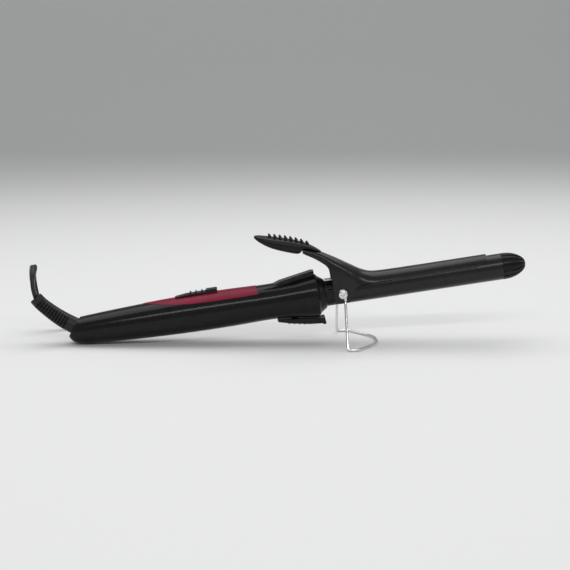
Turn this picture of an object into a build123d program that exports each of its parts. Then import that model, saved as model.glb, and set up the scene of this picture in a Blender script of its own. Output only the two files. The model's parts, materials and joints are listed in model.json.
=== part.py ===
from build123d import *
import os
from math import cos, pi, radians, tan

# A mains curling iron standing on its butt end and its wire stand.
# The iron is drawn in its own frame: X runs along the barrel to the tip, Y to the far side, Z up,
# and the origin is the pivot of the clamp and the stand. place() then tips it to its resting
# angle and lifts it, so that Z = 0 is the surface that it stands on. Millimetres.

# Resting place
REST_ANGLE = 8.5           # the barrel's slope when the iron stands on its wire stand
PIVOT_X = 45.43            # puts the origin under the middle of the iron
PIVOT_Z = 38.01            # height of the pivot above the surface

# Barrel
BARREL_R = 9.5             # 19 mm barrel
BARREL_WALL = 0.8
BARREL_START = 3.0
BARREL_END = 117.0
TIP_END = 135.0
TIP_GROOVES = 14
TIP_GROOVE_HALF = 0.65     # half the width of a groove
TIP_GROOVE_DEPTH = 0.9

# Handle
HANDLE_END = -187.0
HANDLE_FRONT = -18.2
HANDLE_WALL = 2.0
HANDLE_STATIONS = [(HANDLE_END, 10.3), (-170, 11.35), (-146, 12.55), (-122, 13.35), (-98, 13.65),
                   (-75, 13.45), (-53, 13.05), (-38, 13.9), (-26, 15.6), (HANDLE_FRONT, 16.3)]
GRIP_SCALLOPS = 8
GRIP_PITCH = 9.0
GRIP_START = -122.5
SCREW_PLACES = [(-139, -6.0), (-96, -7.0), (-56, -7.0)]

# Neck and pivot
NECK_R = 9.4
NECK_BORE = 6.0
SHEET = 1.05               # thickness of the pressed clamp
CLAMP_R = 9.65             # inside radius of the clamp, over the barrel
CLAMP_START = -6.0
CLAMP_END = 107.0
CHEEK_DEPTH = 7.2
CLAMP_SWING = 18           # how far the clamp opens, in degrees
SHANK_R = 1.5
BUSH_R = 2.3
BUSH_END = 11.0
HEAD_R = 3.3
HEAD_HEIGHT = 1.9
WIRE_R = 1.0
EYE_Y = BUSH_END + WIRE_R + 0.05
FIT = 0.06                 # radial clearance of a turning fit

# Wire stand, from the pivot in the level frame
FOOT_START = 2.6
FOOT_END = 26.1
FOOT_HALF = 29.0

# Thumb pad
PIN_ROWS = 8
PIN_PITCH = 3.95

# Cord: a flat twin flex, 5 mm wide
CORD_W = 5.0
CORD_T = 3.1
RELIEF_LINE = [(-195.0, 4.1), (-204.2, 11.4), (-211.9, 19.2), (-216.6, 24.9), (-218.9, 28.6)]
RELIEF_RADII = [6.0, 5.8, 5.4, 5.0, 4.8]
# The cord's route in the resting frame, from the bend relief to the hank.
CORD_ROUTE = [(-175.2, 0.0, 33.7), (-177.9, 0.5, 42.2), (-177.0, 5.2, 50.9), (-179.4, 16.3, 55.2),
              (-183.2, 28.0, 50.0), (-184.6, 34.0, 38.0), (-182.4, 36.5, 25.0), (-175.5, 38.6, 14.0),
              (-163.5, 42.0, 6.4), (-149.5, 46.6, 3.6), (-132.35, 54.9, 3.35)]
HANK_TURN = 22.5           # the hank's slant to the iron, in degrees
HANK_CENTRE = (-90.0, 51.8)
HANK_STRAIGHT = 46.0       # between the centres of its round ends
HANK_LAYERS = 2
TIE_T = 0.8                # thickness of the tie, which lifts the hank off the surface
HANK_OUTER = 21.6
HANK_INNER = 7.6
PLUG_PLACE = (-50.0, 95.7, 7.0)
PLUG_PIN_R = 2.0
PLUG_PIN_SPACING = 19.0
PLUG_PIN_START = 26.0
PLUG_PIN_END = 45.0


def place(shape):
    """Tip the iron's frame to the resting angle and lift it onto the surface."""
    return Location((PIVOT_X, 0, PIVOT_Z)) * (Rotation(0, -REST_ANGLE, 0) * shape)


def side(points, half_width, centre_y=0.0):
    """A solid with a side outline of (x, z) points, symmetric about centre_y."""
    outline = make_face(Polyline(*[(x, z) for x, z in points], close=True))
    solid = extrude(outline, amount=half_width, both=True)
    return Location((0, centre_y, 0)) * (Rotation(90, 0, 0) * solid)


def side_face(face, half_width):
    """A sketch drawn in (x, z) made into a solid, symmetric about the middle plane."""
    return Rotation(90, 0, 0) * extrude(face, amount=half_width, both=True)


def plan(points, low, high):
    """A solid with an outline of (x, y) points seen from above."""
    outline = make_face(Polyline(*points, close=True))
    return Location((0, 0, low)) * extrude(outline, amount=high - low)


def turned(points):
    """A solid turned about the barrel's axis from a closed outline of (x, radius) points."""
    return revolve(make_face(Polyline(*points, close=True)), Axis.X, 360)


def turned_smooth(stations, inset=0.0, start=None, end=None):
    """A solid turned from a smooth line through the stations, closed to the axis."""
    first, last = stations[0][0], stations[-1][0]
    curve = Spline(*[(x, r - inset) for x, r in stations])
    lines = [curve, Line((last, stations[-1][1] - inset), (last, 0)),
             Line((last, 0), (first, 0)), Line((first, 0), (first, stations[0][1] - inset))]
    body = revolve(make_face(Curve() + lines), Axis.X, 360)
    if start is not None:
        body &= Location(((start + end) / 2, 0, 0)) * Box(end - start, 60, 60)
    return body


def rod(x, y, z, radius, y_end):
    """A round rod along Y from y to y_end."""
    length = abs(y_end - y)
    return Location((x, (y + y_end) / 2, z)) * (Rotation(90, 0, 0) * Cylinder(radius, length))


def tube_x(outer, inner, start, end):
    ring = Cylinder(outer, end - start) - Cylinder(inner, end - start + 2)
    return Location(((start + end) / 2, 0, 0)) * (Rotation(0, 90, 0) * ring)


def bar(x0, x1, y0, y1, z0, z1):
    return Location(((x0 + x1) / 2, (y0 + y1) / 2, (z0 + z1) / 2)) * Box(x1 - x0, y1 - y0, z1 - z0)


def wire(points, radii, radius):
    """A round wire or cord along straight runs joined by arcs."""
    path = FilletPolyline(*points, radius=radii)
    return sweep(Plane(origin=path @ 0, z_dir=path % 0) * Circle(radius), path=path)


def largest(shape):
    """The biggest solid of a shape, without the slivers that a cut along a seam can leave."""
    return Part() + shape.solids().sort_by(SortBy.VOLUME)[-1]


# ---- Handle ----

def handle_radius(x):
    """Radius of the handle at x, between its stations."""
    for (x0, r0), (x1, r1) in zip(HANDLE_STATIONS, HANDLE_STATIONS[1:]):
        if x <= x1:
            return r0 + (r1 - r0) * (x - x0) / (x1 - x0)
    return HANDLE_STATIONS[-1][1]


def handle_outside():
    """The handle's outer shape: bell, hood on the bell, and scallops for the fingers."""
    body = turned_smooth(HANDLE_STATIONS)
    hood = side([(-50, 12.0), (-44, 14.2), (-30, 16.6), (-20.5, 18.3), (HANDLE_FRONT, 18.1),
                 (HANDLE_FRONT, 8.0)], 5.5)
    hood = fillet(hood.edges().filter_by(GeomType.LINE).filter_by(
        lambda e: abs(e.center().Y) > 5 and e.center().Z > 12), 1.5)
    body += hood
    for i in range(GRIP_SCALLOPS):
        x = GRIP_START + i * GRIP_PITCH
        body -= rod(x, -20, -(handle_radius(x) + 7.0 - 0.75), 7.0, 20)
    return body


def panel_outline():
    """The coloured panel seen from above: pointed at the butt, slanted at the front."""
    edge = [(-144, 0), (-138, 3.8), (-130, 6.9), (-120, 9.0), (-108, 10.1), (-91, 10.6),
            (-71, 10.2), (-59.5, 9.7)]
    front = [(-61.0, 5.0), (-61.6, 0), (-61.0, -5.0)]
    return edge + front + [(x, -y) for x, y in reversed(edge[1:])]


def handle_cavity():
    """The space inside the handle, with ribs left to hold the neck's flange."""
    cavity = turned_smooth(HANDLE_STATIONS, HANDLE_WALL, HANDLE_END + 2.0, HANDLE_FRONT + 0.5)
    for x in (-33.0, -26.0):
        cavity -= tube_x(17, NECK_R + 0.2, x - 1.0, x + 1.0)
    return cavity


def handle_shell(outside, cavity, panel, side_sign):
    """One half of the handle: -1 is the near half, 1 the far half, which takes the screws."""
    boss, holes = Part(), Part()
    for x, z in SCREW_PLACES:
        boss += rod(x, 0, z, 3.2, side_sign * 14) & outside
        holes += rod(x, -20, z, 1.2, 20) if side_sign < 0 else rod(x, -20, z, 1.6, 20)
        if side_sign > 0:
            holes += rod(x, 7.0, z, 3.0, 20)
        else:
            holes -= rod(x, -20, z, 2.0, -8.0)
    shell = outside - cavity - panel
    half = bar(-220, 0, 0, 40, -40, 40) if side_sign > 0 else bar(-220, 0, -40, 0, -40, 40)
    shell = (shell & half) + boss
    shell -= holes
    shell -= bar(-116, -90, -2.2, 2.2, 5, 20)                    # slot for the switch stem
    shell -= bar(-43, -33, -2.1, 2.1, -20, -8)                   # slot for the latch stem
    shell -= tube_x(8.85, 0.01, HANDLE_END - 1, HANDLE_END + 3.5)       # seat of the butt cap
    return largest(shell)


def accent_panel(outside):
    """A thin curved cover let into the top of the handle."""
    grown = turned_smooth([(x, r + 0.25) for x, r in HANDLE_STATIONS])
    under = turned_smooth(HANDLE_STATIONS, 1.1)
    cover = (grown - under) & plan(panel_outline(), 3.0, 20.0)
    return cover - bar(-115.5, -90.5, -2.2, 2.2, 5, 20)


def switch_slider():
    """The on and off slider: a wedge, three ribs and a square block on a stem."""
    top = handle_radius(-105) + 0.35
    body = side([(-120, top + 0.1), (-112, top + 1.1), (-97.5, top + 1.3), (-97.0, top + 2.4),
                 (-89.6, top + 2.4), (-89.0, top + 1.8), (-89.0, top + 0.05)], 3.6)
    for x in (-108.5, -104.3, -100.1):
        body += side([(x - 0.9, top + 0.6), (x - 0.4, top + 2.2), (x + 0.4, top + 2.2),
                      (x + 0.9, top + 0.6)], 3.6)
    return body + bar(-112, -100, -1.6, 1.6, 8.6, top + 1.0)


def switch_body():
    body = bar(-117, -89, -5, 5, 1.0, 8.2)
    body += bar(-119, -87, -3, 3, 4.0, 6.0)
    return body - bar(-112.5, -93.5, -1.8, 1.8, 6.5, 9)


def switch_terminals():
    return Part() + [bar(x - 0.4, x + 0.4, -1.6, 1.6, -3.5, 1.0) for x in (-112, -103, -94)]


def handle_screws():
    """Three self-tapping screws, let in from the far side."""
    group = Part()
    for x, z in SCREW_PLACES:
        screw = rod(x, -6.5, z, 1.2, 7.1) + rod(x, 7.05, z, 2.7, 9.0)
        screw -= Location((x, 9.0, z)) * Box(3.4, 1.6, 0.7)
        screw -= Location((x, 9.0, z)) * Box(0.7, 1.6, 3.4)
        group += screw
    return group


def butt_cap():
    """The rounded end of the handle, with a slanting face for the cord."""
    dome = turned_smooth([(HANDLE_END - 0.1, 10.25), (-192, 9.7), (-196.5, 8.0), (-199.6, 5.0)])
    dome += turned([(-199.5, 0), (-199.5, 5.0), (-200.9, 2.5), (-201.2, 0)])
    dome += tube_x(8.8, 7.0, HANDLE_END - 0.5, HANDLE_END + 3.3)
    face = relief_plane(0)
    dome -= face * Location((0, 0, 15)) * Box(60, 60, 30)
    dome -= face * Location((0, 0, -3.0)) * Cylinder(4.65, 14.0)
    hollow = tube_x(7.0, 0.01, -193.5, HANDLE_END + 0.5)
    dome -= hollow & (face * Location((0, 0, -32.0)) * Box(60, 60, 60))
    return dome


def relief_plane(index):
    """The plane across the bend relief at one of its stations."""
    x, z = RELIEF_LINE[index]
    nxt = RELIEF_LINE[min(index + 1, len(RELIEF_LINE) - 1)]
    prv = RELIEF_LINE[max(index - 1, 0)]
    return Plane(origin=(x, 0, z), x_dir=(0, 1, 0), z_dir=(nxt[0] - prv[0], 0, nxt[1] - prv[1]))


def bend_relief():
    """A ribbed rubber boot: slots on both sides between two rails, and a hole for the cord."""
    planes = [relief_plane(i) for i in range(len(RELIEF_LINE))]
    boot = loft([plane * Circle(r) for plane, r in zip(planes, RELIEF_RADII)])
    root = planes[0]
    boot += root * Location((0, 0, -2.4)) * Cylinder(4.6, 5.0)
    line = Spline(*[(x, 0, z) for x, z in RELIEF_LINE])
    slots = 11
    for i in range(slots):
        t = 0.22 + 0.66 * i / (slots - 1)
        place_at = line @ t
        across = Plane(origin=place_at, x_dir=line % t, z_dir=(0, 1, 0))
        reach = 3.4 - 0.7 * t
        for hand in (-1, 1):
            boot -= across * Location((0, 0, hand * (2.6 + 3.0))) * Box(1.35, 2 * reach, 6.0)
    return boot - planes[-1] * Cylinder(CORD_W / 2 + 0.2, 3.0)


def cord_clamp():
    """The bar that grips the cord inside the handle."""
    bridge = bar(-166, -160, -7.4, 7.4, 1.8, 4.0)
    for y in (-5.1, 5.1):
        bridge -= Location((-163, y, 3)) * Cylinder(1.5, 6)
    return bridge


def cord_clamp_base():
    """The saddle under the cord, with posts for the clamp's screws."""
    base = bar(-167, -159, -7.2, 7.2, -5.2, -1.6)
    for y in (-5.1, 5.1):
        base += Location((-163, y, -1.0)) * Cylinder(2.0, 5.2)
        base -= Location((-163, y, -1.0)) * Cylinder(1.05, 9)
    return base


def cord_clamp_screws():
    group = Part()
    for y in (-5.1, 5.1):
        screw = Location((-163, y, 4.8)) * Cylinder(2.2, 1.5) + Location((-163, y, 1.0)) * Cylinder(1.0, 6.4)
        screw -= Location((-163, y, 5.5)) * Box(3.0, 0.7, 1.2)
        group += screw
    return group


def cord_inside():
    """The end of the cord inside the butt, from the relief to the clamp."""
    return bar(-185, -158, -CORD_W / 2, CORD_W / 2, -1.5, 1.5)


# ---- Nose, latch, neck ----

def nose_collar():
    """The stepped ring that closes the bell round the neck."""
    ring = turned([(HANDLE_FRONT + 0.05, NECK_R + 0.1), (HANDLE_FRONT + 0.05, 14.9), (-17.4, 14.9),
                   (-16.0, 13.2), (-12.2, 10.6), (-11.6, NECK_R + 0.1)])
    return ring + tube_x(13.9, 12.2, -22.5, HANDLE_FRONT + 0.2)


LATCH_TOP = [(-49.0, -13.75), (-40.0, -14.25), (-30.0, -15.5), (-24.0, -16.35), (-18.4, -16.85)]


def release_latch():
    """The ribbed slider under the bell, with a hooked front end and a stem into the handle."""
    low = [(-14.6, -16.85), (-14.2, -21.2), (-16.2, -21.5), (-17.0, -20.6), (-26.0, -19.8),
           (-40.0, -17.2), (-48.5, -14.9)]
    body = side(LATCH_TOP + low, 5.5)
    for i in range(4):
        x = -41.0 + 3.7 * i
        z = -17.0 - 0.19 * (x + 41.0)
        body += side([(x - 0.8, z + 0.6), (x - 0.35, z - 0.75), (x + 0.35, z - 0.75), (x + 0.8, z + 0.6)], 4.6)
    return body + bar(-38.6, -34.2, -1.7, 1.7, -16.0, -9.6) + bar(-38.6, -34.2, -3.6, 3.6, -10.8, -9.4)


def latch_spring():
    """A folded leaf that pushes the latch forward, between it and the handle's wall."""
    points = [(-47.0, -10.8)]
    for i in range(4):
        points += [(-46.2 + 2.0 * i, -8.2), (-45.2 + 2.0 * i, -10.8)]
    line = Polyline(*points[:-1])
    leaf = Rotation(90, 0, 0) * extrude(make_face(offset(line, amount=0.2, side=Side.BOTH)), amount=2.0,
                                        both=True)
    return Part() + leaf


def barrel_neck():
    """The heat-proof plastic neck: flange in the handle, vents, pivot bosses, spigot in the barrel."""
    neck = turned([(-29.6, NECK_BORE), (-29.6, 11.4), (-27.2, 11.4), (-27.2, NECK_R),
                   (BARREL_START, NECK_R), (BARREL_START, BARREL_R - BARREL_WALL - 0.05),
                   (14.0, BARREL_R - BARREL_WALL - 0.05), (14.0, NECK_BORE)])
    for y in (-1, 1):
        neck += rod(0, y * 5.6, 0, 2.9, y * (CLAMP_R - 0.1)) & tube_x(CLAMP_R - 0.1, 0.01, -5, 5)
        neck -= rod(0, y * 2.0, 0, 1.25, y * 12.0)
    for angle in (-66, -40, -14, 14, 40, 66):
        neck -= Rotation(angle, 0, 0) * bar(-10.6, -5.4, -0.6, 0.6, 5.0, 11.0)
    neck -= tube_x(NECK_BORE, 0.01, -31, 15)
    return neck


def barrel_tube():
    return tube_x(BARREL_R, BARREL_R - BARREL_WALL, BARREL_START + 0.02, BARREL_END)


def tip_cap():
    """The fluted cool tip: a plug in the barrel and a rounded nose with grooves."""
    profile = [(BARREL_END + 0.02, 9.45), (119.5, 9.5), (124.0, 9.1), (129.0, 7.5), (132.7, 5.2)]
    end = turned([(132.65, 0), (132.65, 5.25), (134.2, 3.4), (TIP_END, 0)])
    nose = turned_smooth(profile) + end
    nose += tube_x(BARREL_R - BARREL_WALL - 0.05, 6.5, 109.0, BARREL_END + 0.5)
    core = turned_smooth(profile, TIP_GROOVE_DEPTH)
    for i in range(TIP_GROOVES):
        groove = bar(118.6, 133.4, -TIP_GROOVE_HALF, TIP_GROOVE_HALF, 3.0, 12.0) - core
        nose -= Rotation(360 / TIP_GROOVES * (i + 0.5), 0, 0) * groove
    return nose


# ---- Heater ----

def heat_block(hand):
    """Half of the aluminium core that carries heat to the barrel; hand 1 is the upper half."""
    core = tube_x(8.3, 0.01, 24.0, 106.0)
    return core & bar(20, 110, -10, 10, min(hand * 1.9, hand * 10), max(hand * 1.9, hand * 10))


def ptc_heater():
    return bar(28, 100, -4.6, 4.6, -1.4, 1.4)


def heater_film():
    """The insulating film sleeve round the heater plate."""
    return bar(26, 103, -5.2, 5.2, -1.75, 1.75) - bar(25, 104, -4.75, 4.75, -1.5, 1.5)


def thermal_fuse():
    fuse = Rotation(0, 90, 0) * Cylinder(1.9, 9.0) + Rotation(0, 90, 0) * Cylinder(0.5, 17.0)
    return Location((-4.0, 0, -2.5)) * fuse


def lead_wires():
    """Two sleeved wires from the switch and the cord to the heater."""
    group = Part()
    group += wire([(27.0, 2.4, 0), (18.0, 2.6, 0.4), (-20.0, 2.8, 2.0), (-60, 3.0, 0), (-91.0, 3.4, -4.8)],
                  [10, 20, 20], 0.75)
    group += wire([(27.0, -2.4, 0), (18.0, -2.6, 0.4), (-20.0, -2.8, 2.4), (-70, -6.2, -1.0),
                   (-130, -4.0, -3.2), (-155, -1.0, 0.0)], [10, 20, 20, 20], 0.75)
    return group


# ---- Clamp ----

ARM_TOP = [(-22.0, 35.8), (-14.5, 32.4), (-8.9, 29.4), (-0.8, 24.5), (7.9, 18.8), (15.9, 13.9),
           (21.0, 11.7), (27.0, 10.75)]
ARM_LOW = [(-22.0, 31.0), (-18.5, 28.9), (-10.8, 23.3), (-7.0, 19.6), (-6.2, 14.0), (CLAMP_START, 8.0)]
CLAMP_LOWER_EDGE = [(CLAMP_START, -CHEEK_DEPTH + 1.5), (CLAMP_START + 1.5, -CHEEK_DEPTH), (4.4, -CHEEK_DEPTH),
                    (5.5, -5.8), (7.2, -1.8), (9.4, 1.8), (12.6, 3.7), (17.5, 4.3), (98.0, 4.3),
                    (102.5, 5.2), (105.6, 7.6), (CLAMP_END, 11.0)]


def clamp_section(radius, start, end):
    """A round-topped channel along the barrel, open below."""
    top = Location(((start + end) / 2, 0, 0)) * (Rotation(0, 90, 0) * Cylinder(radius, end - start))
    return top + bar(start, end, -radius, radius, -30, 0)


# Sections of the arm and the saddle: place, top, half-width, corner radius
ARM_SECTIONS = [(-30.0, 39.6, 6.6, 3.4), (-22.0, 35.8, 6.6, 3.4), (-14.5, 32.4, 6.7, 3.6),
                (-8.9, 29.4, 7.7, 4.2), (-3.4, 26.0, 9.6, 5.4), (2.4, 22.4, 10.7, 6.4),
                (8.0, 18.8, 10.7, 7.6), (15.9, 13.9, 10.7, 9.4), (21.0, 11.7, 10.7, 10.3),
                (28.0, 10.7, 10.7, 10.6)]


def arm_block(shrink):
    """The lever arm and saddle as a block with round shoulders, narrowing towards the thumb pad."""
    sections = []
    for x, top, half, corner in ARM_SECTIONS:
        low = -24.0
        plane = Plane(origin=(x, 0, (top - shrink + low) / 2), x_dir=(0, 1, 0), z_dir=(1, 0, 0))
        sections.append(plane * RectangleRounded(2 * (half - shrink), top - shrink - low, corner - shrink))
    return loft(sections, ruled=True)


def clamp_jaw():
    """The pressed steel clamp: jaw, saddle with two cheeks, lever arm and a tongue for the pad."""
    solid = clamp_section(CLAMP_R + SHEET, CLAMP_START, CLAMP_END) + arm_block(0)
    solid -= clamp_section(CLAMP_R, CLAMP_START - 1, CLAMP_END + 1)
    solid -= arm_block(SHEET) & bar(-60, 27.9, -12, 12, -40, 60)
    solid &= side(CLAMP_LOWER_EDGE + [(CLAMP_END, 12.0), (28.0, 12.0)] + ARM_TOP[::-1]
                  + [(-22.0, 38), (-60.0, 60), (-60.0, 31.0)] + ARM_LOW, 14)
    solid += side([(-21.0, 34.3), (-21.0, 35.35), (-34.0, 40.75), (-48.0, 43.95), (-48.0, 42.9),
                   (-34.0, 39.7)], 5.0)
    for step in range(1, 5):
        swung_neck = Rotation(0, CLAMP_SWING * step / 4, 0) * tube_x(NECK_R + 0.35, 0.01, -29, 3)
        solid -= swung_neck
    for y in (-1, 1):
        solid -= rod(0, y * 8, 0, BUSH_R + FIT, y * 13)
    return largest(solid)


def pad_solid():
    """The thumb pad's outer shape: a spoon seen from above, thick in the middle."""
    outline = make_face(Polyline(
        (-9.9, 30.6), (-16.0, 36.0), (-22.7, 39.7), (-29.0, 42.4), (-35.1, 44.4), (-46.0, 47.3),
        (-54.6, 49.6), (-56.4, 49.0), (-56.6, 47.6), (-53.0, 43.6), (-47.1, 40.3), (-38.8, 36.9),
        (-28.4, 33.1), (-22.0, 31.4), (-17.0, 30.2), close=True))
    body = side_face(outline, 12)
    half = [(-8.0, 2.8), (-16.0, 6.0), (-26.0, 8.2), (-38.0, 9.0), (-48.0, 8.0), (-53.5, 5.2), (-57.0, 1.5)]
    body &= plan(half + [(x, -y) for x, y in reversed(half)], 20, 60)
    return body


def pad_height(x):
    """Height of the pad's top along its middle."""
    top = [(-16.0, 36.0), (-22.7, 39.7), (-29.0, 42.4), (-35.1, 44.4), (-46.0, 47.3), (-54.6, 49.6)]
    for (x0, z0), (x1, z1) in zip(top, top[1:]):
        if x >= x1:
            return z0 + (z1 - z0) * (x - x0) / (x1 - x0)
    return top[-1][1]


def thumb_pad():
    """The heat-proof cap pushed onto the lever arm, with rows of pins."""
    pad = pad_solid()
    pad -= arm_block(0)
    pad -= bar(-22.1, -8, -6.7, 6.7, 20, 35.9) & side(
        [(-23, 20), (-23, 35.4), (-22.0, 35.85), (-14.5, 32.45), (-8.0, 28.9), (-8.0, 20)], 8)
    pad -= side([(-20.0, 33.9), (-20.0, 34.9), (-21.0, 35.4), (-34.0, 40.8), (-48.1, 44.0), (-48.1, 42.85),
                 (-34.0, 39.65), (-22.0, 34.25)], 5.05)
    for i in range(PIN_ROWS):
        x = -19.5 - PIN_PITCH * cos(radians(20)) * i
        for y in ((-4.6, 0, 4.6) if 0 < i < PIN_ROWS - 1 else (-2.3, 2.3)):
            z = pad_height(x)
            pad += Location((x, y, z + 0.75)) * (Rotation(0, -16, 0) * Cone(1.15, 0.6, 2.6))
    return pad


def clamp_spring():
    """A bent leaf between the neck and the lever arm that holds the jaw shut."""
    line = FilletPolyline((-11.0, 9.95), (13.5, 9.95), (15.0, 11.6), (1.5, 18.3), radius=0.6)
    leaf = make_face(offset(line, amount=0.35, side=Side.BOTH))
    return Part() + side_face(leaf, 3.0)


def pivot_bushes():
    group = Part()
    for y in (-1, 1):
        bush = rod(0, y * (CLAMP_R - 0.1), 0, BUSH_R, y * BUSH_END)
        group += bush - rod(0, y * 8, 0, SHANK_R, y * 14)
    return group


def pivot_screws():
    """Two cross-headed screws that carry the clamp and the stand."""
    group = Part()
    start = BUSH_END + 2 * WIRE_R + 0.1
    for y in (-1, 1):
        head = rod(0, y * start, 0, HEAD_R, y * (start + HEAD_HEIGHT))
        rim = head.edges().filter_by(GeomType.CIRCLE).sort_by(Axis.Y)[-1 if y > 0 else 0]
        head = fillet(rim, 1.2)
        screw = head + rod(0, y * 5.0, 0, SHANK_R - 0.25, y * (CLAMP_R - 0.05))
        screw += rod(0, y * (CLAMP_R - 0.1), 0, SHANK_R, y * (start + 0.1))
        for size in ((3.4, 0.8), (0.8, 3.4)):
            screw -= Location((0, y * (start + HEAD_HEIGHT), 0)) * Box(size[0], 2.4, size[1])
        group += screw
    return group


def wire_stand():
    """One bent wire: an eye on each screw, two splayed legs and a round foot. Level frame.
    The eyes are wound the same way, so the legs leave them on opposite sides of the screws."""
    floor = -PIVOT_Z + WIRE_R
    eye = SHANK_R + FIT + WIRE_R
    points = [(1.85, -EYE_Y, -2.35), (2.0, -EYE_Y, -5.4), (FOOT_START, -FOOT_HALF, floor),
              (9.5, -FOOT_HALF, floor), (FOOT_END, -9.2, floor), (FOOT_END, 9.2, floor),
              (8.5, FOOT_HALF, floor), (FOOT_START - 3.4, FOOT_HALF, floor), (-2.0, EYE_Y, -5.4),
              (-1.85, EYE_Y, -2.35)]
    stand = wire(points, [6.0, 2.6, 4.2, 19.5, 19.5, 4.2, 2.6, 6.0], WIRE_R)
    for y in (-1, 1):
        stand += Location((0, y * EYE_Y, 0)) * (Rotation(90, 0, 0) * Torus(eye, WIRE_R))
    return Location((PIVOT_X, 0, PIVOT_Z)) * stand


# ---- Cord, hank and plug, in the resting frame ----

def cord_radii(points):
    """Each arc as large as its two runs allow."""
    radii = []
    for a, b, c in zip(points, points[1:], points[2:]):
        into, out = Vector(*b) - Vector(*a), Vector(*c) - Vector(*b)
        half = radians(into.get_angle(out)) / 2
        radii.append(0.45 * min(into.length, out.length) / tan(half))
    return radii


def power_cord():
    """The free stretch of the cord, from the relief to the hank."""
    radii = cord_radii(CORD_ROUTE)
    print("cord radii", [round(r, 1) for r in radii])
    path = FilletPolyline(*CORD_ROUTE, radius=radii)
    tube = sweep(Plane(origin=path @ 0, z_dir=path % 0) * Circle(CORD_W / 2), path=path)
    section = pi * (CORD_W / 2) ** 2
    print("cord length", round(path.length, 1), "volume against section x length",
          round(tube.volume / (section * path.length), 4))
    return tube


def on_hank(shape):
    """Turn and move a shape from the hank's own frame to its place on the surface."""
    return Location((HANK_CENTRE[0], HANK_CENTRE[1], 0)) * (Rotation(0, 0, HANK_TURN) * shape)


def cord_hank():
    """The outer shape of the folded cord: a flat oval ring."""
    height = CORD_W * HANK_LAYERS + 0.4
    ring = extrude(SlotCenterToCenter(HANK_STRAIGHT, 2 * HANK_OUTER), amount=height)
    ring -= extrude(SlotCenterToCenter(HANK_STRAIGHT, 2 * HANK_INNER), amount=height)
    return on_hank(Location((0, 0, TIE_T)) * ring)


def hank_tie():
    """A strap round the hank's middle."""
    height = CORD_W * HANK_LAYERS + 0.4
    reach = HANK_OUTER + TIE_T
    band = bar(-5, 5, -reach, reach, 0.0, height + 2 * TIE_T)
    return on_hank(band - bar(-6, 6, -HANK_OUTER, HANK_OUTER, TIE_T, height + TIE_T))


def on_plug(shape):
    """Move a shape from the plug's own frame, whose X runs to the pins, to its place."""
    return Location(PLUG_PLACE) * shape


def plug_body():
    """A flat moulded two-pin plug with a tapered strain relief."""
    grip = loft([Plane(origin=(x, 0, 0), x_dir=(0, 1, 0), z_dir=(1, 0, 0)) * RectangleRounded(w, t, corner)
                 for x, w, t, corner in ((0, 15, 10, 3.6), (7, 20, 11.6, 4.2), (17, 32.5, 13.4, 5.6),
                                         (PLUG_PIN_START, 35.2, 13.6, 5.8))])
    tail = loft([Plane(origin=(x, 0, 0), x_dir=(0, 1, 0), z_dir=(1, 0, 0)) * Ellipse(a, b)
                 for x, a, b in ((-22, 3.2, 2.6), (-10, 4.2, 3.3), (0.5, 5.6, 4.2))])
    return on_plug(grip + tail)


def plug_pins():
    """Two round pins of 4 mm with round ends."""
    group = Part()
    for y in (-PLUG_PIN_SPACING / 2, PLUG_PIN_SPACING / 2):
        pin = Rotation(0, 90, 0) * Cylinder(PLUG_PIN_R, PLUG_PIN_END - PLUG_PIN_START)
        pin = fillet(pin.edges().filter_by(GeomType.CIRCLE).sort_by(Axis.X)[-1], 1.2)
        group += Location(((PLUG_PIN_START + PLUG_PIN_END) / 2, y, 0)) * pin
    return on_plug(group)


def build():
    outside = handle_outside()
    cavity = handle_cavity()
    panel = accent_panel(outside)
    iron = {
        "handle_shell_near": handle_shell(outside, cavity, panel, -1),
        "handle_shell_far": handle_shell(outside, cavity, panel, 1),
        "accent_panel": panel,
        "switch_slider": switch_slider(),
        "switch_body": switch_body(),
        "switch_terminals": switch_terminals(),
        "handle_screws": handle_screws(),
        "butt_cap": butt_cap(),
        "bend_relief": bend_relief(),
        "cord_clamp": cord_clamp(),
        "cord_clamp_base": cord_clamp_base(),
        "cord_clamp_screws": cord_clamp_screws(),
        "cord_inside": cord_inside(),
        "nose_collar": nose_collar(),
        "release_latch": release_latch(),
        "latch_spring": latch_spring(),
        "barrel_neck": barrel_neck(),
        "barrel_tube": barrel_tube(),
        "tip_cap": tip_cap(),
        "heat_block_upper": heat_block(1),
        "heat_block_lower": heat_block(-1),
        "ptc_heater": ptc_heater(),
        "heater_film": heater_film(),
        "thermal_fuse": thermal_fuse(),
        "lead_wires": lead_wires(),
        "clamp_jaw": clamp_jaw(),
        "thumb_pad": thumb_pad(),
        "clamp_spring": clamp_spring(),
        "pivot_bushes": pivot_bushes(),
        "pivot_screws": pivot_screws(),
    }
    nodes = {name: place(shape) for name, shape in iron.items()}
    nodes["wire_stand"] = wire_stand()
    nodes["power_cord"] = power_cord()
    nodes["cord_hank"] = cord_hank()
    nodes["hank_tie"] = hank_tie()
    nodes["plug_body"] = plug_body()
    nodes["plug_pins"] = plug_pins()
    return nodes


os.makedirs("parts", exist_ok=True)
for node, shape in build().items():
    export_step(shape, f"parts/{node}.step")
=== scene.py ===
# %% [markdown]
# # A curling iron on its wire stand
# A curling iron is a hot steel tube with a sprung clamp along it, a plastic handle behind it and a cord
# at the far end. This notebook dresses a measured CAD model of one in Blender. Parts whose CAD shape is
# already right only get a finish. Parts that are soft, pressed or moulded in the round are made again
# here as smooth meshes, in the place that the CAD gives them, so nothing has to be fitted by eye.

# %% Load the measured model
import json
from math import atan2, cos, pi, radians, sin

import bmesh
import bpy
import numpy as np
from mathutils import Matrix, Vector


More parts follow.
